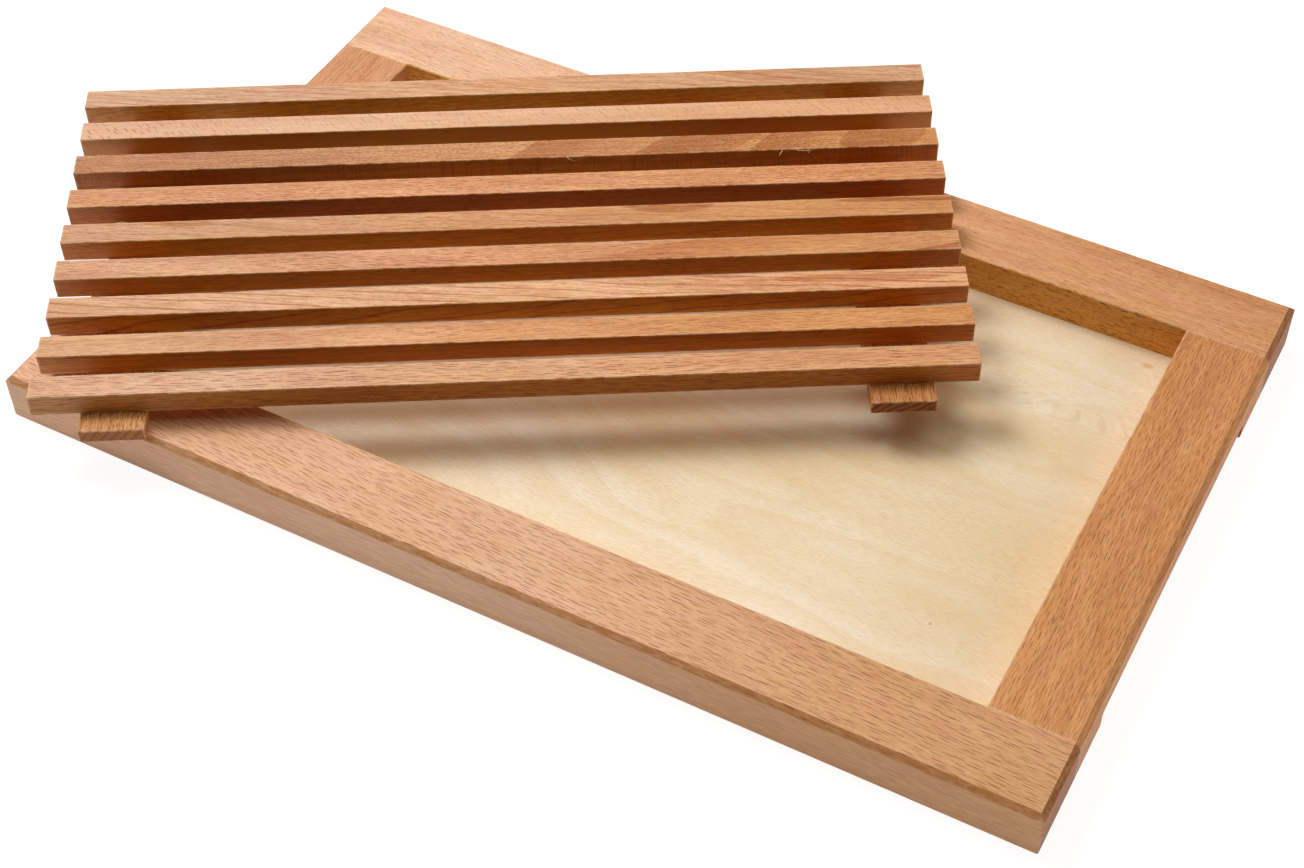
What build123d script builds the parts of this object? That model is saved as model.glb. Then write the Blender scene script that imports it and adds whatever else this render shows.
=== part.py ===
from build123d import *

import os
from math import cos, pi, sin

# Bread board: a beech tray with a plywood floor, and a loose slatted grid lying across it.
# Millimetres. The origin is the centre of the tray's underside. X runs along the tray's
# long rails, +Z is up.

# Tray frame
tray_length = 400.0
tray_width = 252.0
tray_height = 20.0
long_rail_width = 31.0
short_rail_width = 31.5
top_chamfer = 2.0
bottom_round = 1.2
corner_round = 0.6
inner_edge_break = 0.4

# Plywood floor, let into a rebate under the frame and flush with its underside
floor_thickness = 4.0
rebate_width = 8.0
rebate_corner_radius = 6.0
floor_gap = 0.2

# Finger grips, routed under the outer edge of each short rail
grip_length = 143.0
grip_height = 7.8
grip_depth = 12.0
grip_corner_radius = 6.0
grip_roof_round = 2.0

# Fluted dowels, two across each corner joint, glued in blind holes
dowel_diameter = 6.0
dowel_length = 30.0
dowel_flutes = 12
dowel_flute_depth = 0.3
dowel_hole_gap = 0.05
dowel_end_gap = 0.5
dowel_height = 11.5
dowel_offsets = (-7.5, 7.5)

# Brads: thin headed nails, driven up from below and set just under the surface
brad_diameter = 1.3
brad_head_diameter = 2.4
brad_head_height = 0.6
brad_point_length = 1.6
brad_point_taper = 20.0
brad_set = 0.3
brad_sides = 8
brad_hole_gap = 0.03
floor_brad_length = 12.0
floor_brad_inset = 4.0
floor_brads_along = 5
floor_brads_across = 3
grid_brad_length = 11.0

# Slatted grid
slat_count = 9
slat_pitch = 19.9
slat_length = 334.5
slat_width = 10.5
slat_height = 8.9
slat_edge_break = 0.2
batten_width = 23.4
batten_thickness = 5.4
batten_overhang = 8.8
batten_spacing = 278.2
batten_edge_break = 0.3

# Each slat's own endwise slip, first slat at the back: they were fixed by eye
slat_slip = (-1.0, -0.2, -0.3, -0.1, 0.2, 0.4, 0.5, 0.0, -0.6)

# How the loose grid lies: flat on the rails, turned, and off the tray's centre
grid_turn = 30.6
grid_shift = (-73.5, 18.7)

# Sizes that follow from the ones above
opening_length = tray_length - 2 * short_rail_width
opening_width = tray_width - 2 * long_rail_width
rebate_length = opening_length + 2 * rebate_width
rebate_breadth = opening_width + 2 * rebate_width
batten_length = (slat_count - 1) * slat_pitch + slat_width + 2 * batten_overhang
corner_dowel_x = (opening_length + short_rail_width) / 2
corner_joint_y = opening_width / 2
seated_side_gap = (opening_width - batten_length) / 2
seated_end_gap = (opening_length - slat_length - max(slat_slip) + min(slat_slip)) / 2
seated_drop = tray_height - floor_thickness - batten_thickness - slat_height

low = (Align.CENTER, Align.CENTER, Align.MIN)
grid_place = Location((grid_shift[0], grid_shift[1], tray_height), (0, 0, grid_turn))


# Shared small parts

def wire(diameter, length):
    """A nail's shank or head, standing on z = 0. Few sides, because a brad is very thin."""
    return extrude(RegularPolygon(diameter / 2, brad_sides), amount=length)


def brad(length):
    """One nail, point up, with the top of its head facing down at z = 0."""
    shank = wire(brad_diameter, length - brad_point_length)
    shank_end = Pos(0, 0, length - brad_point_length) * RegularPolygon(brad_diameter / 2, brad_sides)
    point = extrude(shank_end, amount=brad_point_length, taper=brad_point_taper)
    return wire(brad_head_diameter, brad_head_height) + shank + point


def brad_hole(length):
    """The hole that a nail fills, from the face at z = 0, with the pocket for its set head."""
    shank = wire(brad_diameter + 2 * brad_hole_gap, length + brad_set + brad_hole_gap)
    pocket = wire(brad_head_diameter + 2 * brad_hole_gap, brad_head_height + brad_set + brad_hole_gap)
    return shank + pocket


def at_all(points, piece):
    """Copies of a piece at each point, as separate solids in one group."""
    return Compound(children=[Pos(*point) * piece for point in points])


# Tray

def outer_block():
    """The glued-up frame's outside: mitred chamfer round the top, rounded bottom edge."""
    block = Box(tray_length, tray_width, tray_height, align=low)
    block = chamfer(block.faces().sort_by(Axis.Z)[-1].edges(), top_chamfer)
    block = fillet(block.edges().filter_by(Axis.Z), corner_round)
    return fillet(block.faces().sort_by(Axis.Z)[0].edges(), bottom_round)


def opening_cutter():
    """The inside of the frame, a little wider at the top where the edge is broken."""
    well = Box(opening_length, opening_width, tray_height, align=low)
    flare_sketch = Rectangle(opening_length, opening_width)
    flare = extrude(
        Pos(0, 0, tray_height - inner_edge_break) * flare_sketch,
        amount=inner_edge_break,
        taper=-45,
    )
    return well + flare


def rebate_cutter():
    """The routed ledge under the frame that takes the plywood floor."""
    sketch = RectangleRounded(rebate_length, rebate_breadth, rebate_corner_radius)
    return extrude(sketch, amount=floor_thickness)


def grip_cutter():
    """The finger grip's hollow, centred on the outer face of a short rail."""
    sketch = RectangleRounded(2 * grip_depth, grip_length, grip_corner_radius)
    hollow = extrude(sketch, amount=grip_height)
    return fillet(hollow.faces().sort_by(Axis.Z)[-1].edges(), grip_roof_round)


def corner_joints():
    """Centre of each corner joint's face: name, then x and y."""
    return {
        "front_left": (-corner_dowel_x, -corner_joint_y),
        "front_right": (corner_dowel_x, -corner_joint_y),
        "back_left": (-corner_dowel_x, corner_joint_y),
        "back_right": (corner_dowel_x, corner_joint_y),
    }


def dowel_points(x, y):
    return [(x + offset, y, dowel_height) for offset in dowel_offsets]


def dowel():
    """A peg with glue flutes along it, lying along Y."""
    ridge = dowel_diameter / 2
    radii = (ridge, ridge - dowel_flute_depth) * dowel_flutes
    step = pi / dowel_flutes
    star = [(radius * cos(turn * step), radius * sin(turn * step)) for turn, radius in enumerate(radii)]
    section = make_face(Polyline(*star, close=True))
    return extrude(Plane.XZ * section, amount=dowel_length / 2, both=True)


def dowel_hole():
    radius = dowel_diameter / 2 + dowel_hole_gap
    return Rot(90, 0, 0) * Cylinder(radius, dowel_length + 2 * dowel_end_gap)


def floor_brad_points():
    """Nails round the floor's margin, evenly spaced on each side."""
    x_side = opening_length / 2 + floor_brad_inset
    y_side = opening_width / 2 + floor_brad_inset
    x_step = opening_length / floor_brads_along
    y_step = opening_width / floor_brads_across
    points = []
    for number in range(floor_brads_along):
        x = (number - (floor_brads_along - 1) / 2) * x_step
        points += [(x, -y_side), (x, y_side)]
    for number in range(floor_brads_across):
        y = (number - (floor_brads_across - 1) / 2) * y_step
        points += [(-x_side, y), (x_side, y)]
    return points


def frame_rails():
    """The four rails, cut from one machined frame along the corner joints."""
    frame = outer_block() - opening_cutter() - rebate_cutter()
    for x in (-tray_length / 2, tray_length / 2):
        frame -= Pos(x, 0, 0) * grip_cutter()
    frame -= [Pos(x, y, 0) * brad_hole(floor_brad_length) for x, y in floor_brad_points()]
    for x, y in corner_joints().values():
        frame -= [Pos(*point) * dowel_hole() for point in dowel_points(x, y)]
    long_region = Box(tray_length, long_rail_width, tray_height, align=low)
    short_region = Box(short_rail_width, opening_width, tray_height, align=low)
    long_y = (tray_width - long_rail_width) / 2
    short_x = (tray_length - short_rail_width) / 2
    return {
        "front_rail": frame & Pos(0, -long_y, 0) * long_region,
        "back_rail": frame & Pos(0, long_y, 0) * long_region,
        "left_rail": frame & Pos(-short_x, 0, 0) * short_region,
        "right_rail": frame & Pos(short_x, 0, 0) * short_region,
    }


def floor_panel():
    """The plywood sheet, its corners rounded to the rebate."""
    sketch = RectangleRounded(
        rebate_length - 2 * floor_gap,
        rebate_breadth - 2 * floor_gap,
        rebate_corner_radius - floor_gap,
    )
    panel = extrude(sketch, amount=floor_thickness)
    return panel - [Pos(x, y, 0) * brad_hole(floor_brad_length) for x, y in floor_brad_points()]


def tray_parts():
    parts = frame_rails()
    parts["floor_panel"] = floor_panel()
    brad_points = [(x, y, brad_set) for x, y in floor_brad_points()]
    parts["floor_brads"] = at_all(brad_points, brad(floor_brad_length))
    for name, (x, y) in corner_joints().items():
        parts["dowels_" + name] = at_all(dowel_points(x, y), dowel())
    return parts


# Grid, built centred on the origin with its battens' underside at z = 0

def slat_rows():
    """Middle of each slat across the grid, the first at the back."""
    return [((slat_count - 1) / 2 - number) * slat_pitch for number in range(slat_count)]


def batten_columns():
    return {"left_batten": -batten_spacing / 2, "right_batten": batten_spacing / 2}


def slat(y, slip):
    bar = Box(slat_length, slat_width, slat_height, align=low)
    bar = chamfer(bar.edges(), slat_edge_break)
    bar = Pos(slip, y, batten_thickness) * bar
    return bar - [Pos(x, y, 0) * brad_hole(grid_brad_length) for x in batten_columns().values()]


def batten(x):
    bar = Box(batten_width, batten_length, batten_thickness, align=low)
    bar = Pos(x, 0, 0) * chamfer(bar.edges(), batten_edge_break)
    return bar - [Pos(x, y, 0) * brad_hole(grid_brad_length) for y in slat_rows()]


def grid_parts():
    parts = {}
    for number, (y, slip) in enumerate(zip(slat_rows(), slat_slip), start=1):
        parts[f"slat_{number}"] = slat(y, slip)
    for name, x in batten_columns().items():
        parts[name] = batten(x)
        parts[name + "_brads"] = at_all([(x, y, brad_set) for y in slat_rows()], brad(grid_brad_length))
    return {name: grid_place * piece for name, piece in parts.items()}


def main():
    os.makedirs("parts", exist_ok=True)
    for name, piece in (tray_parts() | grid_parts()).items():
        export_step(piece, f"parts/{name}.step")
    print("grid seated in the tray: side gap", round(seated_side_gap, 2), "mm each side")
    print("grid seated in the tray: end gap", round(seated_end_gap, 2), "mm each end")
    print("grid seated in the tray: slats", round(seated_drop, 2), "mm below the rim")


main()
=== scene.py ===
import bmesh
import bpy
from math import radians
from mathutils import Matrix, Vector, noise


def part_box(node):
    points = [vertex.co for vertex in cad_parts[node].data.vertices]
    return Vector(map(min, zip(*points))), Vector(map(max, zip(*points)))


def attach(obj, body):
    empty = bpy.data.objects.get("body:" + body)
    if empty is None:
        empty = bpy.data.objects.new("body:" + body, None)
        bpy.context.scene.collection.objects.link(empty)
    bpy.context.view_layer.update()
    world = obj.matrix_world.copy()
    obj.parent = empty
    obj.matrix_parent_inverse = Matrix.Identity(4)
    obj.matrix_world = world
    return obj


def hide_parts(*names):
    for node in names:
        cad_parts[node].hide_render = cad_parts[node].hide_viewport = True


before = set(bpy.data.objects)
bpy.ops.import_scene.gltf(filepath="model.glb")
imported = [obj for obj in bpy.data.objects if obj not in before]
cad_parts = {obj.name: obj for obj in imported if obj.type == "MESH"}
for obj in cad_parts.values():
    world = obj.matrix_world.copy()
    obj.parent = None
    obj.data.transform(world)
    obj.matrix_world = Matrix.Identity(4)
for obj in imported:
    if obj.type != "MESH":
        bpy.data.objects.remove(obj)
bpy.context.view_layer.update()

# Bread board: a beech tray with a birch plywood floor, and a loose slatted grid lying across it.
# Metres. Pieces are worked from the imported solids: edges eased, arrises a little uneven.

mm = 0.001

# How the pieces lie: centre in millimetres and turn of the grain in degrees
grid_turn = 30.6
grid_shift = Vector((-73.5, 18.7, 0.0))
slat_pitch = 19.9
middle_slat = 5
slat_size = (334.5, 10.5, 8.9)
slat_middle = 29.85
batten_size = (187.3, 23.4, 5.4)
batten_middle = 22.7
batten_off = 139.1
tray_size = (400.0, 252.0, 20.0)
long_rail_size = (400.0, 31.0, 20.0)
short_rail_size = (190.0, 31.5, 20.0)
long_rail_off = (tray_size[1] - long_rail_size[1]) / 2
short_rail_off = (tray_size[0] - short_rail_size[1]) / 2
rail_middle = tray_size[2] / 2
dowel_pair_size = (30.0, 21.0, 6.0)
slat_slip = (-1.0, -0.2, -0.3, -0.1, 0.2, 0.4, 0.5, 0.0, -0.6)

# How far edges are eased and arrises left uneven, and how finely the rails are cut up for it
slat_easing = 0.06
batten_easing = 0.08
batten_uneven = 0.08
rail_easing = 0.2
rail_uneven = 0.16
rail_step = 3.0


def on_grid(u, v, height):
    """A point of the grid, from its own length and width, in the tray's frame."""
    turned = Matrix.Rotation(radians(grid_turn), 3, "Z") @ Vector((u, v, 0.0)) + grid_shift
    return Vector((turned.x, turned.y, height))


# Camera and light: the camera is fitted to the straight edges of tray and grid

camera_place = Vector((0.27364, -0.50393, 0.59292))
camera_forward = Vector((-0.3257, 0.5938, -0.7358))
camera_right = Vector((0.8812, 0.4727, -0.0087))
camera_sensor = 36.0
camera_lens = 61.29
nearest_seen = 0.01


def studio_camera():
    camera = bpy.data.objects.new("camera", bpy.data.cameras.new("camera"))
    bpy.context.scene.collection.objects.link(camera)
    forward = camera_forward.normalized()
    right = camera_right.normalized()
    up = right.cross(forward)
    turn = Matrix((right, up, -forward)).transposed().to_4x4()
    camera.matrix_world = Matrix.Translation(camera_place) @ turn
    camera.data.sensor_width = camera_sensor
    camera.data.lens = camera_lens
    camera.data.clip_start = nearest_seen
    bpy.context.scene.camera = camera


# Soft boxes: name, place, the point they face, side of the square, power and hue. The key light comes from
# the left, the top one is a warm ceiling bounce, and the other two fill the right end and the back.
plain_white = (1.0, 1.0, 1.0)
soft_boxes = (
    ("key_soft_box", (-0.79, 0.116, 1.3), (-0.02, 0.0, 0.0), 0.62, 16.4, plain_white),
    ("right_soft_box", (1.2, 0.45, 0.5), (0.05, 0.0, 0.0), 0.7, 2.7, (1.0, 0.84, 0.55)),
    ("back_soft_box", (-0.60, 0.85, 0.95), (-0.05, 0.0, 0.0), 0.75, 3.0, plain_white),
    ("top_soft_box", (0.12, 0.25, 1.6), (0.0, 0.0, 0.0), 1.1, 7.6, (1.0, 0.91, 0.72)),
)
room_fill = 0.02

# The table top: its grey and its glow, as it lights the board and as it is seen
table_reach = 4.0
table_drop = 0.0001
table_lighting_grey = 0.9
table_seen_grey = 0.16
table_lighting_glow = 0.38
table_seen_glow = 0.93


def soft_box(name, place, aim, size, power, hue):
    light = bpy.data.lights.new(name, "AREA")
    light.shape = "SQUARE"
    light.size = size
    light.energy = power
    light.color = hue
    lamp = bpy.data.objects.new(name, light)
    bpy.context.scene.collection.objects.link(lamp)
    lamp.location = place
    lamp.rotation_euler = (Vector(aim) - Vector(place)).to_track_quat("-Z", "Y").to_euler()


def studio_light():
    for box in soft_boxes:
        soft_box(*box)
    world = bpy.data.worlds.new("studio")
    bpy.context.scene.world = world
    world.use_nodes = True
    tree = world.node_tree
    tree.nodes.clear()
    seen = seen_directly(tree)
    out = tree.nodes.new("ShaderNodeOutputWorld")
    room = tree.nodes.new("ShaderNodeBackground")
    room.inputs["Color"].default_value = (1.0, 1.0, 1.0, 1.0)
    strength = calc(tree, "MULTIPLY_ADD", seen, 1.0 - room_fill, room_fill)
    tree.links.new(strength, room.inputs["Strength"])
    tree.links.new(room.outputs[0], out.inputs["Surface"])


def white_floor():
    """A white table top that reads as plain white and keeps the board's shadow."""
    bm = bmesh.new()
    bmesh.ops.create_grid(bm, x_segments=1, y_segments=1, size=table_reach)
    table = finished_piece("table_top", bm)
    table.location.z = -table_drop
    material = bpy.data.materials.new("table_white")
    material.use_nodes = True
    tree = material.node_tree
    tree.nodes.clear()
    seen = seen_directly(tree)
    paint = tree.nodes.new("ShaderNodeBsdfDiffuse")
    shade = tree.nodes.new("ShaderNodeMix")
    shade.data_type = "RGBA"
    tree.links.new(seen, shade.inputs["Factor"])
    shade.inputs["A"].default_value = (*[table_lighting_grey] * 3, 1.0)
    shade.inputs["B"].default_value = (*[table_seen_grey] * 3, 1.0)
    tree.links.new(shade.outputs["Result"], paint.inputs["Color"])
    glow = tree.nodes.new("ShaderNodeEmission")
    more_seen = table_seen_glow - table_lighting_glow
    tree.links.new(calc(tree, "MULTIPLY_ADD", seen, more_seen, table_lighting_glow), glow.inputs["Strength"])
    both = tree.nodes.new("ShaderNodeAddShader")
    tree.links.new(paint.outputs[0], both.inputs[0])
    tree.links.new(glow.outputs[0], both.inputs[1])
    out = tree.nodes.new("ShaderNodeOutputMaterial")
    tree.links.new(both.outputs[0], out.inputs["Surface"])
    table.data.materials.append(material)


def seen_directly(tree):
    """1 for what the eye sees, straight or through gloss and glass, 0 for what lights the board."""
    path = tree.nodes.new("ShaderNodeLightPath")
    glossy = calc(tree, "MAXIMUM", path.outputs["Is Camera Ray"], path.outputs["Is Glossy Ray"])
    return calc(tree, "MAXIMUM", glossy, path.outputs["Is Transmission Ray"])


# Node helpers

def feed(tree, socket, value):
    if isinstance(value, bpy.types.NodeSocket):
        tree.links.new(value, socket)
    else:
        socket.default_value = value


def calc(tree, operation, *values):
    node = tree.nodes.new("ShaderNodeMath")
    node.operation = operation
    for socket, value in zip(node.inputs, values):
        feed(tree, socket, value)
    return node.outputs[0]


def vector(tree, operation, *values):
    node = tree.nodes.new("ShaderNodeVectorMath")
    node.operation = operation
    for socket, value in zip(node.inputs, values):
        feed(tree, socket, value)
    return node.outputs["Value" if operation in ("LENGTH", "DOT_PRODUCT") else "Vector"]


def parts_of(tree, value):
    node = tree.nodes.new("ShaderNodeSeparateXYZ")
    feed(tree, node.inputs[0], value)
    return node.outputs


def joined(tree, x, y, z):
    node = tree.nodes.new("ShaderNodeCombineXYZ")
    for socket, value in zip(node.inputs, (x, y, z)):
        feed(tree, socket, value)
    return node.outputs[0]


def placed(tree, coords, kind, location=(0, 0, 0), rotation=(0, 0, 0), scale=(1, 1, 1)):
    node = tree.nodes.new("ShaderNodeMapping")
    node.vector_type = kind
    tree.links.new(coords, node.inputs["Vector"])
    for name, value in (("Location", location), ("Rotation", rotation), ("Scale", scale)):
        if name in node.inputs:
            node.inputs[name].default_value = value
    return node.outputs[0]


def mottle(tree, coords, stretch, detail=2.0, roughness=0.5, output=0):
    """Soft noise, stretched by a factor per millimetre along each direction."""
    node = tree.nodes.new("ShaderNodeTexNoise")
    tree.links.new(vector(tree, "MULTIPLY", coords, stretch), node.inputs["Vector"])
    node.inputs["Scale"].default_value = 1.0
    node.inputs["Detail"].default_value = detail
    node.inputs["Roughness"].default_value = roughness
    return node.outputs[output]


def dashes(tree, coords, spacing, size):
    """Scattered spindle-shaped dashes on a face, spacing and size along and across in millimetres.

    They lie in two layers, each sparser by a half, so that few are cut off by a neighbour."""
    sparser = 1.4
    second_layer = (37.5, 17.5, 0.0)
    layers = []
    for shift in ((0.0, 0.0, 0.0), second_layer):
        node = tree.nodes.new("ShaderNodeTexVoronoi")
        node.voronoi_dimensions = "2D"
        apart = (spacing[0] * sparser, spacing[1] * sparser)
        spread = vector(tree, "ADD", vector(tree, "DIVIDE", coords, (*apart, 1.0)), shift)
        tree.links.new(spread, node.inputs["Vector"])
        node.inputs["Scale"].default_value = 1.0
        node.inputs["Randomness"].default_value = 0.7
        offset = vector(tree, "SUBTRACT", spread, node.outputs["Position"])
        reach = vector(tree, "MULTIPLY", offset, (2 * apart[0] / size[0], 2 * apart[1] / size[1], 0.0))
        body = between(tree, vector(tree, "LENGTH", reach), 1.0, 0.55)
        share = between(tree, parts_of(tree, node.outputs["Color"])[0], 0.0, 0.7, 0.35, 1.0)
        layers.append(calc(tree, "MULTIPLY", body, share))
    return calc(tree, "MAXIMUM", *layers)


def between(tree, value, low, high, to_low=0.0, to_high=1.0):
    node = tree.nodes.new("ShaderNodeMapRange")
    node.interpolation_type = "SMOOTHSTEP"
    feed(tree, node.inputs["Value"], value)
    for name, number in (("From Min", low), ("From Max", high), ("To Min", to_low), ("To Max", to_high)):
        feed(tree, node.inputs[name], number)
    return node.outputs[0]


def tint(tree, amount, under, over, kind="MIX"):
    node = tree.nodes.new("ShaderNodeMix")
    node.data_type = "RGBA"
    node.blend_type = kind
    feed(tree, node.inputs["Factor"], amount)
    feed(tree, node.inputs["A"], under)
    feed(tree, node.inputs["B"], over)
    return node.outputs["Result"]


def stained(tree, amount, wood, stain):
    """The wood seen through a stain: each part of the colour only gets darker."""
    return tint(tree, amount, wood, stain, "MULTIPLY")


def colour(red, green, blue):
    """A colour as a screen shows it, 0 to 255, in the renderer's own light values."""
    shown = [value / 255 for value in (red, green, blue)]
    return (*[value / 12.92 if value < 0.0404 else ((value + 0.055) / 1.055) ** 2.4 for value in shown], 1.0)


# Materials

untouched = (1.0, 1.0, 1.0, 1.0)
# Colour of the routed chamfer's darkening: partly the wood's own tone, partly painted shade
soft_chamfer = (206, 176, 126)


def beech(name, size, place, turn, tone, seed, cant=0.0, slope=0.0, ring=2.6, line=0.4, ring_start=0.35,
          end_ring=0.8, dash=(5.0, 1.5, 3.4, 0.42), dash_depth=0.8, dash_kept=1.0, fine=(2.8, 0.8, 1.7, 0.3),
          fine_depth=0.5, rake=0.0, side_dash=0.7, sparse=0.6, streak=0.5, clouding=0.9, upright=0.0,
          chamfer=soft_chamfer, chamfer_depth=0.0, flank=None, warm_end=untouched, underside=None,
          patches=()):
    """Beech with its grain along the piece: growth rings, dark ray dashes, fibres, pores, end grain.

    size, place and turn say how the piece lies, in millimetres and degrees, and seed which part of the tree
    it comes from. tone is the wood's colour at the left, in the middle and at the right; where it changes
    along the piece it also holds a painted sheen, mostly palest at the left.

    Rings: cant is how far they lean across the end, slope the grain's angle on the top face, ring their
    width, line and end_ring their strength along the piece and on its ends, ring_start where the dark part
    of each begins.

    Dashes: dash and fine are the long and the short ones' spacing along and across, then their length and
    width, with their depths of colour. dash_kept is what is left of the long ones away from the left end,
    rake how far they lean, side_dash their strength on the sides, sparse how strong they stay where few grow.

    Colour: streak is the fibres' strength, clouding the slow changes', upright that of rays that stand
    across the sides. flank is painted shade on the front side, and warm_end painted golden light on that
    side's two ends. underside is a darker, warmer colour for the underside, so that the shade beneath comes
    out darker and warmer. chamfer is the routed chamfer's darker colour, partly the wood's own and partly
    painted shade. patches are other-coloured wood on the top."""
    material = bpy.data.materials.new(name)
    material.use_nodes = True
    tree = material.node_tree
    shader = tree.nodes["Principled BSDF"]
    seat = tree.nodes.new("ShaderNodeTexCoord")
    lay = (0.0, 0.0, radians(turn))
    own = placed(tree, seat.outputs["Object"], "TEXTURE", [c * mm for c in place], lay, (mm, mm, mm))
    facing = parts_of(tree, placed(tree, seat.outputs["Normal"], "TEXTURE", rotation=lay))
    along = parts_of(tree, own)[0]
    end = between(tree, calc(tree, "ABSOLUTE", facing[0]), 0.55, 0.85)
    side = calc(tree, "GREATER_THAN", calc(tree, "ABSOLUTE", facing[1]), 0.6)

    # Grain that wanders a little, and the log that the piece was sawn from
    part_of_tree = (seed * 61.0, seed * 23.0, seed * 37.0)
    wander = (0.0, 7.0, 7.0)
    stock = vector(tree, "ADD", own, part_of_tree)
    drift = mottle(tree, stock, (0.007, 0.03, 0.03), 2.0, 0.5, 1)
    drift = vector(tree, "MULTIPLY", vector(tree, "SUBTRACT", drift, (0.5, 0.5, 0.5)), wander)
    leaning = vector(tree, "ADD", placed(tree, own, "POINT", rotation=(0.0, 0.0, slope)), drift)
    grain = vector(tree, "ADD", leaning, part_of_tree)
    late = growth_rings(tree, leaning, stock, cant, ring, ring_start)
    late = calc(tree, "MULTIPLY", late, calc(tree, "MULTIPLY_ADD", end, end_ring - line, line))

    # Ray dashes, laid out on the face that they show on
    run, over, through = parts_of(tree, grain)
    face_over = calc(tree, "MULTIPLY_ADD", side, calc(tree, "SUBTRACT", through, over), over)
    sheet = placed(tree, joined(tree, run, face_over, 0.0), "POINT", rotation=(0.0, 0.0, radians(rake)))
    shown = calc(tree, "MULTIPLY_ADD", side, side_dash - 1.0, 1.0)
    shown = calc(tree, "MULTIPLY", shown, calc(tree, "SUBTRACT", 1.0, end))
    crowd = between(tree, mottle(tree, stock, (0.02, 0.08, 0.08), 2.0), 0.25, 0.7, sparse, 1.0)
    shown = calc(tree, "MULTIPLY", shown, crowd)
    kept = between(tree, along, -0.43 * size[0], -0.3 * size[0], 1.0, dash_kept)
    long_dash = calc(tree, "MULTIPLY", dashes(tree, sheet, dash[:2], dash[2:]), shown)
    long_dash = calc(tree, "MULTIPLY", long_dash, kept)
    short_dash = calc(tree, "MULTIPLY", dashes(tree, sheet, fine[:2], fine[2:]), shown)

    # Fibres, pores and the slow change of colour through the plank
    fibre = mottle(tree, grain, (0.08, 1.5, 1.5), 4.0, 0.7)
    thread = mottle(tree, grain, (0.3, 4.5, 4.5), 2.0, 0.6)
    pore = mottle(tree, grain, (1.0, 6.0, 6.0), 2.0, 0.6)
    cloud = mottle(tree, grain, (0.012, 0.08, 0.08), 3.0, 0.55)
    blush = mottle(tree, stock, (0.03, 0.16, 0.16), 3.0, 0.5)

    tone_reach = size[0] / 3
    wood = tint(tree, between(tree, along, -tone_reach, 0.0), tone[0], tone[1])
    wood = tint(tree, between(tree, along, 0.0, tone_reach), wood, tone[2])
    wood = stained(tree, between(tree, cloud, 0.3, 0.72, 0.0, clouding), wood, colour(236, 226, 216))
    wood = stained(tree, between(tree, blush, 0.35, 0.5, 0.5, 0.0), wood, colour(255, 250, 232))
    wood = stained(tree, between(tree, blush, 0.5, 0.65, 0.0, 0.5), wood, colour(255, 243, 250))
    faint_on_sides = calc(tree, "MULTIPLY_ADD", side, -0.75, 1.0)
    for *patch, stain in patches:
        inside = calc(tree, "MULTIPLY", darker_patch(tree, own, *patch), faint_on_sides)
        wood = stained(tree, inside, wood, stain)
    wood = stained(tree, late, wood, colour(206, 176, 146))
    wood = stained(tree, calc(tree, "MULTIPLY", late, end), wood, colour(170, 130, 100))
    wood = stained(tree, between(tree, fibre, 0.34, 0.6, streak, 0.0), wood, colour(216, 190, 162))
    wood = stained(tree, between(tree, thread, 0.52, 0.8, 0.0, streak * 0.6), wood, colour(206, 172, 140))
    wood = tint(tree, between(tree, fibre, 0.52, 0.78, 0.0, 0.2), wood, colour(250, 218, 182))
    wood = stained(tree, between(tree, pore, 0.62, 0.8, 0.0, 0.3), wood, colour(170, 126, 96))
    if upright:
        ray = mottle(tree, own, (1.8, 0.08, 0.10), 3.0, 0.75)
        ray = calc(tree, "MULTIPLY", between(tree, ray, 0.5, 0.62, 0.0, upright), side)
        wood = stained(tree, ray, wood, colour(176, 140, 110))
    wood = stained(tree, calc(tree, "MULTIPLY", short_dash, fine_depth), wood, colour(178, 142, 112))
    wood = stained(tree, calc(tree, "MULTIPLY", long_dash, dash_depth), wood, colour(152, 110, 76))

    # Painted shade: the side that faces front is darker and more saturated, standing for the shade it lies in
    if flank:
        wood = painted_front_shade(tree, along, side, facing[1], size[0], wood, flank, warm_end)
    # Painted shade: undersides darker and warmer, so that the shade under the grid comes out darker and
    # warmer
    if underside:
        wood = stained(tree, between(tree, facing[2], -0.5, -0.7), wood, underside)
    # End grain shows darker
    wood = stained(tree, calc(tree, "MULTIPLY", end, 0.85), wood, colour(192, 152, 84))
    # The routed chamfer is darker: partly the wood's own tone, partly painted shade, most on the front rail,
    # whose chamfer faces away from the lamps
    sloping = between(tree, facing[2], 0.52, 0.64)
    sloping = calc(tree, "MULTIPLY", sloping, between(tree, facing[2], 0.9, 0.78))
    torn = between(tree, mottle(tree, own, (0.22, 0.6, 0.6), 3.0, 0.6), 0.3, 0.65, 0.45, 1.0)
    sloping = calc(tree, "MULTIPLY", calc(tree, "MULTIPLY", sloping, torn), chamfer_depth)
    wood = stained(tree, sloping, wood, colour(*chamfer))
    wood = worn_edges(tree, own, size, stock, wood)
    feed(tree, shader.inputs["Base Color"], wood)

    rough = calc(tree, "MULTIPLY_ADD", fibre, -0.22, 0.68)
    rough = calc(tree, "MULTIPLY_ADD", long_dash, 0.12, rough)
    feed(tree, shader.inputs["Roughness"], rough)
    shader.inputs["Specular IOR Level"].default_value = 0.3
    height = calc(tree, "MULTIPLY_ADD", long_dash, -0.5, calc(tree, "MULTIPLY", fibre, 0.7))
    height = calc(tree, "MULTIPLY_ADD", pore, -0.35, height)
    raise_grain(tree, shader, height, 0.35, 0.00012)
    return material


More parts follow.
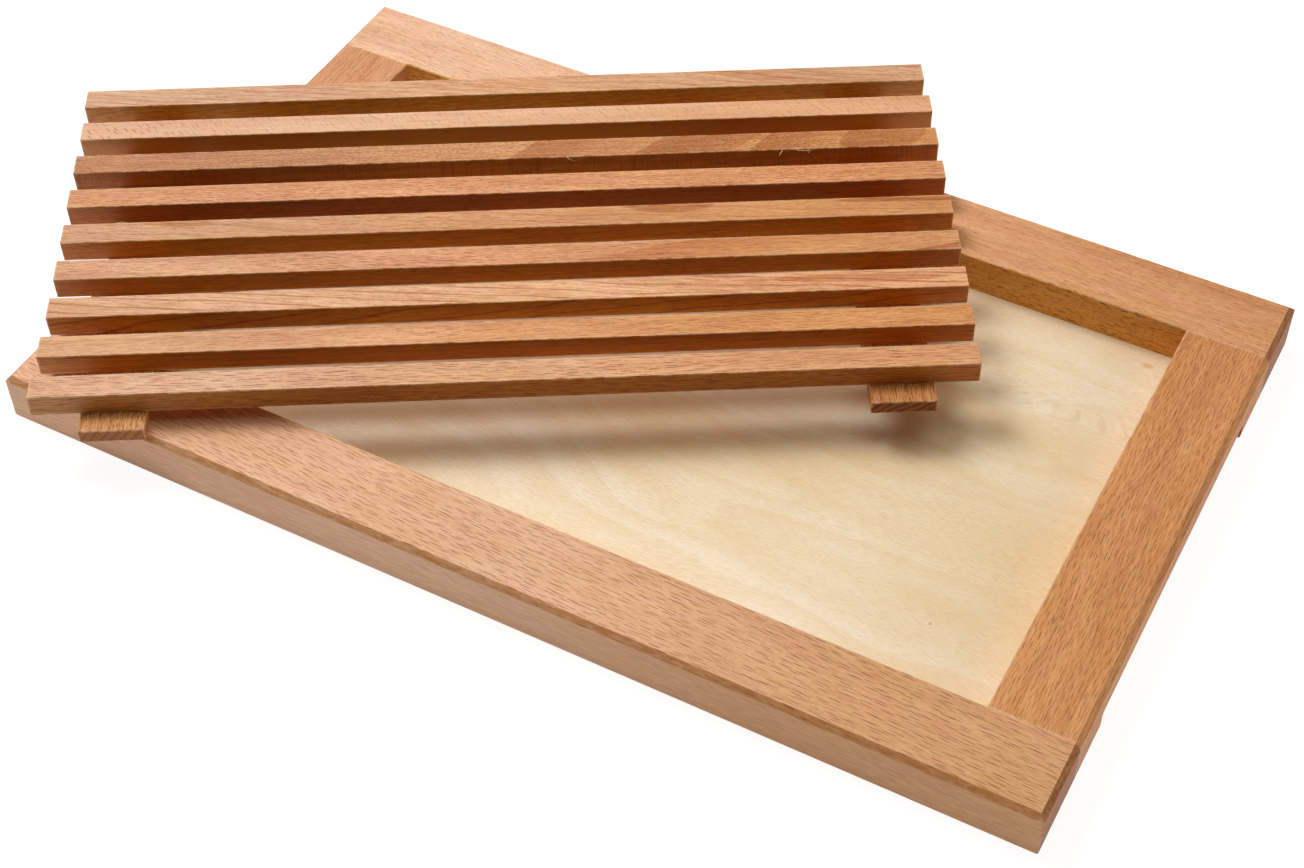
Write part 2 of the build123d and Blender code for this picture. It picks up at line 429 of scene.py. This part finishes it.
def growth_rings(tree, leaning, stock, cant, ring, ring_start):
    """Each year's wood: a soft darker line that ends abruptly, round a tree's middle that is far off."""
    heart = 90.0
    log = placed(tree, leaning, "POINT", (0.0, 0.0, heart), (radians(cant), 0.0, 0.0))
    radius = vector(tree, "LENGTH", vector(tree, "MULTIPLY", log, (0.0, 1.0, 1.0)))
    growth = calc(tree, "ADD", calc(tree, "DIVIDE", radius, ring), mottle(tree, stock, (0.02, 0.1, 0.1)))
    growth = calc(tree, "FRACT", growth)
    return calc(tree, "MULTIPLY", between(tree, growth, ring_start, 0.92), between(tree, growth, 1.0, 0.93))


def painted_front_shade(tree, along, side, facing_back, length, wood, flank, warm_end):
    """Painted shade on the side that faces front, halved towards its two ends, where both sides get painted
    golden light. The back takes a quarter of the shade.
    """
    less_at_ends = between(tree, calc(tree, "ABSOLUTE", along), 0.42 * length, 0.48 * length, 1.0, 0.5)
    front = between(tree, facing_back, -0.4, -0.7, 0.25, 1.0)
    shaded_front = calc(tree, "MULTIPLY", calc(tree, "MULTIPLY", side, front), less_at_ends)
    wood = stained(tree, shaded_front, wood, flank)
    ends = calc(tree, "MULTIPLY", side, calc(tree, "SUBTRACT", 1.0, less_at_ends))
    return stained(tree, ends, wood, warm_end)


def darker_patch(tree, own, middle, half, lean, squareness, fade):
    """Where a patch of other-coloured wood crosses the top: a leaning block or oval with a ragged edge.

    middle and half are its place and half its size, along and across, and fade is how much of it is lost
    to its right."""
    along, across = parts_of(tree, own)[:2]
    raggedness = 3.0
    ragged = mottle(tree, own, (0.06, 0.5, 0.5), 3.0, 0.6)
    off = calc(tree, "SUBTRACT", across, middle[1])
    run = calc(tree, "MULTIPLY_ADD", off, -lean, calc(tree, "SUBTRACT", along, middle[0]))
    run = calc(tree, "MULTIPLY_ADD", ragged, raggedness, calc(tree, "SUBTRACT", run, raggedness / 2))
    run = calc(tree, "DIVIDE", run, half[0])
    off = calc(tree, "DIVIDE", off, half[1])
    reach = calc(tree, "ADD", calc(tree, "POWER", calc(tree, "ABSOLUTE", run), squareness),
                 calc(tree, "POWER", calc(tree, "ABSOLUTE", off), squareness))
    inside = between(tree, reach, 1.12, 0.9)
    return calc(tree, "MULTIPLY", inside, between(tree, run, -0.6, 1.0, 1.0, 1.0 - fade))


def worn_edges(tree, own, size, stock, wood):
    """Handled arrises: a thin, broken, paler line along the edges."""
    reach = vector(tree, "SUBTRACT", vector(tree, "ABSOLUTE", own), [half / 2 for half in size])
    along, across, up = parts_of(tree, reach)
    near = [between(tree, side, -0.9, -0.15) for side in (along, across, up)]
    long_edge = calc(tree, "MULTIPLY", near[1], near[2])
    end_edge = calc(tree, "MULTIPLY", near[0], calc(tree, "MAXIMUM", near[1], near[2]))
    edge = calc(tree, "MAXIMUM", long_edge, end_edge)
    broken = between(tree, mottle(tree, stock, (0.25, 0.5, 0.5), 3.0, 0.6), 0.35, 0.62)
    worn = calc(tree, "MULTIPLY", calc(tree, "MULTIPLY", edge, broken), 0.5)
    return tint(tree, worn, wood, colour(240, 205, 165))


def raise_grain(tree, shader, height, strength, distance):
    bump = tree.nodes.new("ShaderNodeBump")
    bump.inputs["Strength"].default_value = strength
    bump.inputs["Distance"].default_value = distance
    tree.links.new(height, bump.inputs["Height"])
    tree.links.new(bump.outputs[0], shader.inputs["Normal"])


# Where the plywood has its small stain, twice as long as wide, and its pin knot
stain_middle = (159.0, 87.0, 4.0)
knot_middle = (135.7, -61.3, 4.0)


def birch_plywood():
    """Rotary-cut birch: pale, with slow wavy figure, fine fibres, a small stain and a pin knot."""
    material = bpy.data.materials.new("birch_plywood")
    material.use_nodes = True
    tree = material.node_tree
    shader = tree.nodes["Principled BSDF"]
    seat = tree.nodes.new("ShaderNodeTexCoord")
    own = placed(tree, seat.outputs["Object"], "TEXTURE", scale=(mm, mm, mm))
    wander = (60.0, 60.0, 0.0)
    drift = mottle(tree, own, (0.004, 0.012, 0.0), 3.0, 0.5, 1)
    drift = vector(tree, "MULTIPLY", vector(tree, "SUBTRACT", drift, (0.5, 0.5, 0.5)), wander)
    flowing = vector(tree, "ADD", own, drift)
    rise = mottle(tree, flowing, (0.0045, 0.018, 0.0), 2.0, 0.45)
    bands = calc(tree, "FRACT", calc(tree, "MULTIPLY", rise, 11.0))
    band = calc(tree, "MULTIPLY", between(tree, bands, 0.1, 0.8), between(tree, bands, 1.0, 0.85))
    cloud = mottle(tree, flowing, (0.008, 0.022, 0.0), 3.0, 0.55)
    fibre = mottle(tree, flowing, (0.22, 2.4, 0.5), 4.0, 0.7)
    fleck = dashes(tree, own, (3.0, 0.9), (2.0, 0.3))
    wood = tint(tree, between(tree, cloud, 0.32, 0.7), colour(247, 236, 216), colour(241, 220, 182))
    along, across = parts_of(tree, own)[:2]
    # Painted shade: the panel is darker and warmer towards the right and the back, where less light reaches
    # it
    painted_falloff = calc(tree, "MULTIPLY_ADD", across, 0.5, along)
    wood = stained(tree, between(tree, painted_falloff, 20.0, 170.0), wood, colour(246, 243, 237))
    wood = tint(tree, calc(tree, "MULTIPLY", band, 0.22), wood, colour(228, 190, 132))
    wood = stained(tree, between(tree, fibre, 0.35, 0.6, 0.34, 0.0), wood, colour(222, 196, 152))
    wood = tint(tree, calc(tree, "MULTIPLY", fleck, 0.25), wood, colour(214, 178, 128))
    from_stain = vector(tree, "SUBTRACT", own, stain_middle)
    from_stain = vector(tree, "LENGTH", vector(tree, "MULTIPLY", from_stain, (0.5, 1.0, 1.0)))
    wood = tint(tree, between(tree, from_stain, 1.7, 0.4, 0.0, 0.6), wood, colour(214, 160, 84))
    from_knot = vector(tree, "LENGTH", vector(tree, "SUBTRACT", own, knot_middle))
    wood = tint(tree, between(tree, from_knot, 0.8, 0.3, 0.0, 0.6), wood, colour(186, 132, 84))
    feed(tree, shader.inputs["Base Color"], wood)
    feed(tree, shader.inputs["Roughness"], calc(tree, "MULTIPLY_ADD", fibre, -0.2, 0.7))
    shader.inputs["Specular IOR Level"].default_value = 0.4
    raise_grain(tree, shader, calc(tree, "SUBTRACT", fibre, fleck), 0.25, 0.00008)
    return material


def bright_steel():
    """Nail wire: drawn along its length, its head stamped and a little dull."""
    material = bpy.data.materials.new("bright_steel")
    material.use_nodes = True
    tree = material.node_tree
    shader = tree.nodes["Principled BSDF"]
    seat = tree.nodes.new("ShaderNodeTexCoord")
    own = placed(tree, seat.outputs["Object"], "TEXTURE", scale=(mm, mm, mm))
    drawn = mottle(tree, own, (6.0, 6.0, 0.6), 3.0, 0.6)
    dull = mottle(tree, own, (0.7, 0.7, 0.7), 2.0, 0.5)
    feed(tree, shader.inputs["Base Color"], tint(tree, dull, colour(176, 174, 170), colour(206, 205, 203)))
    feed(tree, shader.inputs["Roughness"], calc(tree, "MULTIPLY_ADD", drawn, 0.3, 0.22))
    shader.inputs["Metallic"].default_value = 1.0
    raise_grain(tree, shader, drawn, 0.3, 0.00003)
    return material


# Pieces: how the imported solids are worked, in metres where bmesh reads them and else in millimetres
same_point = 2e-6
sliver = 1e-6
flat_join = radians(0.6)
sharp_join = radians(30)
shortest_arris = 4 * mm
arris_reach = 0.8


def finished_piece(name, bm):
    mesh = bpy.data.meshes.new(name)
    bm.to_mesh(mesh)
    bm.free()
    piece = bpy.data.objects.new(name, mesh)
    bpy.context.scene.collection.objects.link(piece)
    return piece


def worked(node, name, place, turn, size, easing, uneven, seed, step=2.5, creases=((0.0, 0.0),)):
    """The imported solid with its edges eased, cut into short lengths, and its arrises left a little uneven.

    place, size, easing, uneven and step are in millimetres. creases is where the arrises lie, as in
    roughen."""
    bm = bmesh.new()
    bm.from_mesh(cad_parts[node].data)
    bmesh.ops.remove_doubles(bm, verts=bm.verts, dist=same_point)
    bmesh.ops.dissolve_limit(bm, angle_limit=flat_join, verts=bm.verts, edges=bm.edges)
    corners = [e for e in bm.edges if len(e.link_faces) == 2 and e.calc_length() > shortest_arris]
    corners = [e for e in corners if e.calc_face_angle() > sharp_join and e.is_convex]
    bmesh.ops.bevel(bm, geom=corners, offset=easing * mm, offset_type="OFFSET", segments=2, profile=0.5,
                    affect="EDGES", material=-1, clamp_overlap=True)
    middle = Vector(place) * mm
    grain = Matrix.Rotation(radians(turn), 3, "Z") @ Vector((1.0, 0.0, 0.0))
    cuts = int(size[0] / step)
    for number in range(1, cuts):
        cut = middle + grain * ((number / cuts - 0.5) * size[0] * mm)
        everything = bm.verts[:] + bm.edges[:] + bm.faces[:]
        bmesh.ops.bisect_plane(bm, geom=everything, plane_co=cut, plane_no=grain, dist=sliver)
    bmesh.ops.dissolve_degenerate(bm, dist=sliver, edges=bm.edges)
    roughen(bm, middle, turn, size, uneven, seed, creases)
    piece = finished_piece(name, bm)
    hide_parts(node)
    return piece


def roughen(bm, middle, turn, size, uneven, seed, creases):
    """Moves each arris in by a hair, differently along its length, as a saw and a quick sanding leave it.

    creases is where the arrises lie, in from the piece's side and in from its top or underside."""
    back = Matrix.Rotation(radians(-turn), 3, "Z")
    half = [s / 2 for s in size]
    for vert in bm.verts:
        own = back @ (vert.co - middle) / mm
        inset = Vector((half[1] - abs(own.y), half[2] - abs(own.z)))
        amount = max(max(0.0, 1.0 - (inset - Vector(crease)).length / arris_reach) for crease in creases)
        if amount == 0.0:
            continue
        spot = Vector((own.x * 0.32, (own.y > 0) * 9.0 + seed * 3.1, (own.z > 0) * 5.0 + seed))
        fine = noise.noise(spot * 2.7) * 0.5 + 0.5
        broad = noise.noise(spot * 0.35) * 0.5 + 0.5
        chip = max(0.0, noise.noise(spot * 1.3 + Vector((40.0, 0.0, 0.0))) - 0.42) * 3.0
        inward = uneven * amount * (0.5 * fine + 0.5 * broad + chip)
        own.y -= inward * (1.0 if own.y > 0 else -1.0)
        own.z -= inward * (1.0 if own.z > 0 else -1.0)
        vert.co = back.transposed() @ (own * mm) + middle


def dressed(piece, material, body):
    piece.data.materials.clear()
    piece.data.materials.append(material)
    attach(piece, body)


# Each slat, the first at the back: its arrises' unevenness in millimetres, its colour at the left, in the
# middle and at the right, and how it was sawn from the tree, with flank the painted shade on its front side
slat_rows = (
    (0.07, (colour(224, 187, 158), colour(233, 187, 148), colour(223, 183, 147)),
     {"flank": colour(230, 205, 86), "cant": -35.0, "slope": 0.13, "ring": 2.0, "line": 0.4,
      "ring_start": 0.55, "dash_depth": 0.3, "fine": (3.2, 0.9, 2.6, 0.3), "streak": 0.8}),
    (0.06, (colour(224, 181, 152), colour(229, 187, 152), colour(228, 176, 136)),
     {"flank": colour(212, 176, 76), "cant": 78.0, "line": 0.1, "dash": (5.6, 2.4, 4.2, 0.5),
      "dash_depth": 0.9, "dash_kept": 0.5, "rake": 52.0, "streak": 0.25, "fine": (3.0, 0.9, 2.4, 0.26),
      "fine_depth": 0.4, "side_dash": 0.3}),
    (0.16, (colour(192, 138, 97), colour(222, 168, 118), colour(216, 156, 94)),
     {"flank": colour(224, 190, 79), "cant": 52.0, "line": 0.25, "dash_depth": 0.25,
      "fine": (1.6, 0.7, 1.8, 0.4), "fine_depth": 0.9, "upright": 0.4, "side_dash": 0.2}),
    (0.08, (colour(220, 162, 119), colour(232, 172, 124), colour(227, 163, 112)),
     {"flank": colour(194, 151, 69), "cant": 20.0, "slope": 0.03, "line": 0.2,
      "dash": (4.0, 0.95, 4.0, 0.34), "dash_depth": 0.75, "fine": (2.2, 0.7, 1.8, 0.28), "fine_depth": 0.6}),
    (0.12, (colour(214, 168, 131), colour(218, 163, 114), colour(220, 163, 105)),
     {"flank": colour(247, 213, 79), "cant": -35.0, "slope": 0.07, "line": 0.4, "ring_start": 0.7,
      "dash": (5.0, 1.4, 4.4, 0.32), "dash_depth": 0.7}),
    (0.08, (colour(226, 176, 141), colour(227, 168, 123), colour(229, 174, 121)),
     {"flank": colour(226, 193, 76), "cant": 8.0, "slope": 0.04, "line": 0.25, "dash": (4.6, 1.1, 4.8, 0.34),
      "dash_depth": 0.75}),
    (0.07, (colour(227, 180, 145), colour(242, 196, 155), colour(237, 182, 139)),
     {"flank": colour(230, 195, 74), "cant": -50.0, "slope": 0.09, "ring": 3.2, "line": 0.9,
      "ring_start": 0.75, "dash": (6.0, 1.6, 4.0, 0.36), "dash_depth": 0.5, "streak": 0.8}),
    (0.07, (colour(226, 178, 137), colour(229, 170, 119), colour(225, 163, 102)),
     {"flank": colour(227, 188, 74), "cant": 15.0, "slope": -0.02, "line": 0.3,
      "dash": (5.2, 1.3, 5.2, 0.34), "dash_depth": 0.7}),
    (0.07, (colour(232, 189, 159), colour(235, 187, 148), colour(232, 176, 126)),
     {"flank": colour(203, 166, 79), "cant": 38.0, "slope": 0.01, "line": 0.15,
      "dash": (6.2, 1.25, 6.4, 0.38), "dash_depth": 1.0, "side_dash": 1.0}),
)

# Tints for the undersides, darker and warmer so that the shade under the grid comes out darker and warmer,
# and painted golden light for the ends of the slats' front sides
under_shade_tint = colour(252, 222, 164)
lit_end_tint = colour(252, 226, 150)

brown_heart = colour(222, 200, 164)

# Patches on the slats' tops: middle, half size, lean, squareness, fade and colour
slat_patches = {
    1: (((112.0, 0.0), (20.0, 9.0), -3.5, 6.0, 0.5, colour(240, 222, 204)),),
    3: (((28.0, 0.0), (22.0, 12.0), 1.2, 8.0, 0.7, brown_heart),
        ((74.0, 0.0), (19.0, 12.0), 1.4, 8.0, 0.3, brown_heart),
        ((113.0, 0.0), (15.0, 12.0), 1.0, 8.0, 0.7, brown_heart),
        ((146.0, 0.8), (16.0, 6.6), 0.6, 3.0, 0.2, colour(220, 196, 166))),
    5: (((61.0, 5.6), (17.0, 5.2), 0.0, 2.0, 0.1, colour(224, 200, 166)),
        ((-126.0, 4.4), (13.0, 2.6), -3.0, 2.0, 0.4, colour(240, 214, 168)),
        ((150.0, 3.4), (24.0, 1.3), -9.0, 2.0, 0.0, colour(216, 186, 146))),
    6: (((102.0, 0.0), (56.0, 12.0), 4.6, 10.0, 0.9, colour(238, 216, 190)),
        ((200.0, 0.0), (26.0, 12.0), 5.0, 10.0, 0.0, colour(222, 190, 158))),
    7: (((128.0, 1.0), (30.0, 2.2), -5.0, 2.0, 0.2, colour(226, 200, 172)),),
}


def slats():
    for number, (uneven, tone, cut) in enumerate(slat_rows, start=1):
        row = (middle_slat - number) * slat_pitch
        place = on_grid(slat_slip[number - 1], row, slat_middle)
        name = f"beech_slat_{number}"
        piece = worked(f"slat_{number}", name, place, grid_turn, slat_size, slat_easing, uneven, number)
        material = beech(name, slat_size, place, grid_turn, tone, number * 3 + 1, warm_end=lit_end_tint,
                         underside=under_shade_tint, patches=slat_patches.get(number, ()), **cut)
        dressed(piece, material, "grid")


# Fibres torn up by the saw: points along and across the grid and their height, in millimetres, root first
fibre_radius = 0.15
fibre_sides = 6
fibre_taper = 0.8
splinters = (
    ((22.6, 34.8, 34.0), (23.4, 33.2, 34.0), (25.5, 32.6, 33.9), (28.0, 33.4, 34.0), (31.0, 34.0, 34.1)),
    ((106.3, 34.9, 33.9), (105.6, 33.4, 33.8), (104.6, 31.6, 33.9)),
    ((111.6, 34.9, 33.9), (112.4, 34.0, 34.0), (114.0, 33.7, 34.1)),
    ((113.8, 34.9, 33.8), (114.8, 33.9, 33.8), (117.2, 33.8, 34.0)),
    ((116.0, 34.9, 33.9), (116.5, 33.8, 33.7), (116.2, 33.0, 33.4)),
    ((-147.8, 4.9, 34.0), (-146.4, 5.5, 34.1), (-144.6, 5.6, 34.1), (-143.2, 5.3, 34.0)),
    ((-146.9, 4.9, 33.9), (-145.6, 5.9, 33.9), (-144.2, 6.0, 33.8)),
)


def splinter_fibres():
    """A thin fibre for each line of points: its root sits in the slat, and it tapers to a loose end."""
    bm = bmesh.new()
    for line in splinters:
        points = [on_grid(*point) for point in line]
        bend = Vector((0.0, 0.0, 1.0)).rotation_difference(points[1] - points[0]).to_matrix()
        ring = bmesh.ops.create_circle(bm, segments=fibre_sides, radius=fibre_radius, cap_ends=True)["verts"]
        for vert in ring:
            vert.co = bend @ vert.co + points[0]
        tip = list({face for vert in ring for face in vert.link_faces})
        for step, point in enumerate(points[1:], start=1):
            grown = bmesh.ops.extrude_face_region(bm, geom=tip)["geom"]
            if step > 1:
                bmesh.ops.delete(bm, geom=tip, context="FACES_ONLY")
            ring = [part for part in grown if isinstance(part, bmesh.types.BMVert)]
            tip = [part for part in grown if isinstance(part, bmesh.types.BMFace)]
            middle = sum((vert.co for vert in ring), Vector()) / len(ring)
            for vert in ring:
                vert.co = point + (vert.co - middle) * fibre_taper
    bmesh.ops.recalc_face_normals(bm, faces=bm.faces)
    bmesh.ops.scale(bm, vec=(mm, mm, mm), verts=bm.verts)
    piece = finished_piece("slat_splinters", bm)
    # Paler than the slat as torn fibres are, and raised to near white as painted light, standing for the
    # light they catch though they lie in the slat's shade
    pale = (colour(255, 230, 178),) * 3
    material = beech("beech_splinters", slat_size, on_grid(0.0, 0.0, slat_middle), grid_turn, pale, 77)
    dressed(piece, material, "grid")


def battens():
    rows = (
        ("left_batten", -1, colour(229, 173, 113), 50.0, 0.35),
        ("right_batten", 1, colour(210, 151, 90), 35.0, 0.9),
    )
    for name, side, tone, cant, end_ring in rows:
        place = on_grid(side * batten_off, 0.0, batten_middle)
        turn = grid_turn + 90.0
        piece = worked(name, f"beech_{name}", place, turn, batten_size, batten_easing, batten_uneven,
                       side + 11)
        material = beech(f"beech_{name}", batten_size, place, turn, (tone,) * 3, side + 31, cant=cant,
                         dash=(4.0, 1.1, 3.4, 0.5), dash_depth=0.8, fine_depth=0.8, streak=1.0,
                         end_ring=end_ring, underside=under_shade_tint)
        dressed(piece, material, "grid")


# Where the chamfer's two arrises lie, in from a rail's side and in from its top
chamfer_arrises = ((0.0, 2.0), (2.0, 0.0))

# The back rail's inner side: painted light and a warm tint, paler and yellower than its top, so red and green
# are above 1
lit_inside_tint = (1.18, 1.14, 0.46, 1.0)


def rails():
    # The rails' colours hold a painted sheen besides the wood's own tone; it makes the front rail paler and
    # less yellow
    rows = (
        ("front_rail", (0.0, -long_rail_off), 0.0, long_rail_size,
         (colour(235, 190, 155), colour(235, 190, 155), colour(225, 174, 127)),
         {"cant": 3.0, "slope": 0.05, "line": 0.1, "dash": (5.8, 1.3, 6.0, 0.28), "dash_depth": 1.0,
          "fine": (2.6, 0.8, 2.0, 0.24), "fine_depth": 0.35, "side_dash": 0.35, "sparse": 0.85,
          "streak": 0.35, "clouding": 0.4, "chamfer_depth": 0.9, "end_ring": 0.6}),
        ("back_rail", (0.0, long_rail_off), 0.0, long_rail_size,
         (colour(236, 196, 167), colour(231, 181, 138), colour(224, 168, 120)),
         {"cant": -14.0, "slope": 0.02, "line": 0.15, "dash": (7.0, 3.0, 3.4, 0.8), "dash_depth": 0.35,
          "fine": (3.0, 1.0, 2.2, 0.34), "side_dash": 2.2, "chamfer_depth": 0.5, "end_ring": 0.6,
          "flank": lit_inside_tint}),
        ("left_rail", (-short_rail_off, 0.0), 90.0, short_rail_size, (colour(214, 158, 114),) * 3,
         {"cant": 12.0, "line": 0.2, "dash_depth": 0.5, "chamfer_depth": 0.6}),
        # The right rail's chamfer, lit from the right, gets nearly none of the chamfer's painted shade
        ("right_rail", (short_rail_off, 0.0), 90.0, short_rail_size,
         (colour(229, 168, 111), colour(225, 162, 107), colour(219, 156, 101)),
         {"cant": -5.0, "line": 0.2, "dash": (4.8, 1.05, 4.8, 0.26), "dash_depth": 0.9, "fine_depth": 0.3,
          "sparse": 0.8, "chamfer_depth": 0.5, "chamfer": (244, 240, 236)}),
    )
    for number, (name, spot, turn, size, tone, cut) in enumerate(rows, start=51):
        place = Vector((*spot, rail_middle))
        piece = worked(name, f"beech_{name}", place, turn, size, rail_easing, rail_uneven, number, rail_step,
                       chamfer_arrises)
        material = beech(f"beech_{name}", size, place, turn, tone, number, **cut)
        dressed(piece, material, "tray")


def carried_over():
    """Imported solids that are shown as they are: the floor, its nails and the dowels."""
    steel = bright_steel()
    plain = {"floor_panel": birch_plywood(), "floor_brads": steel}
    plain.update({"left_batten_brads": steel, "right_batten_brads": steel})
    pegs = (colour(226, 178, 136),) * 3
    for corner in ("front_left", "front_right", "back_left", "back_right"):
        low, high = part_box("dowels_" + corner)
        middle = (low + high) / 2 / mm
        name = "beech_dowels_" + corner
        plain["dowels_" + corner] = beech(name, dowel_pair_size, middle, 90.0, pegs, 71)
    for node, material in plain.items():
        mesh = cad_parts[node].data
        mesh.materials.clear()
        mesh.materials.append(material)


bpy.context.scene.view_settings.view_transform = "Standard"
studio_camera()
studio_light()
white_floor()
rails()
slats()
splinter_fibres()
battens()
carried_over()
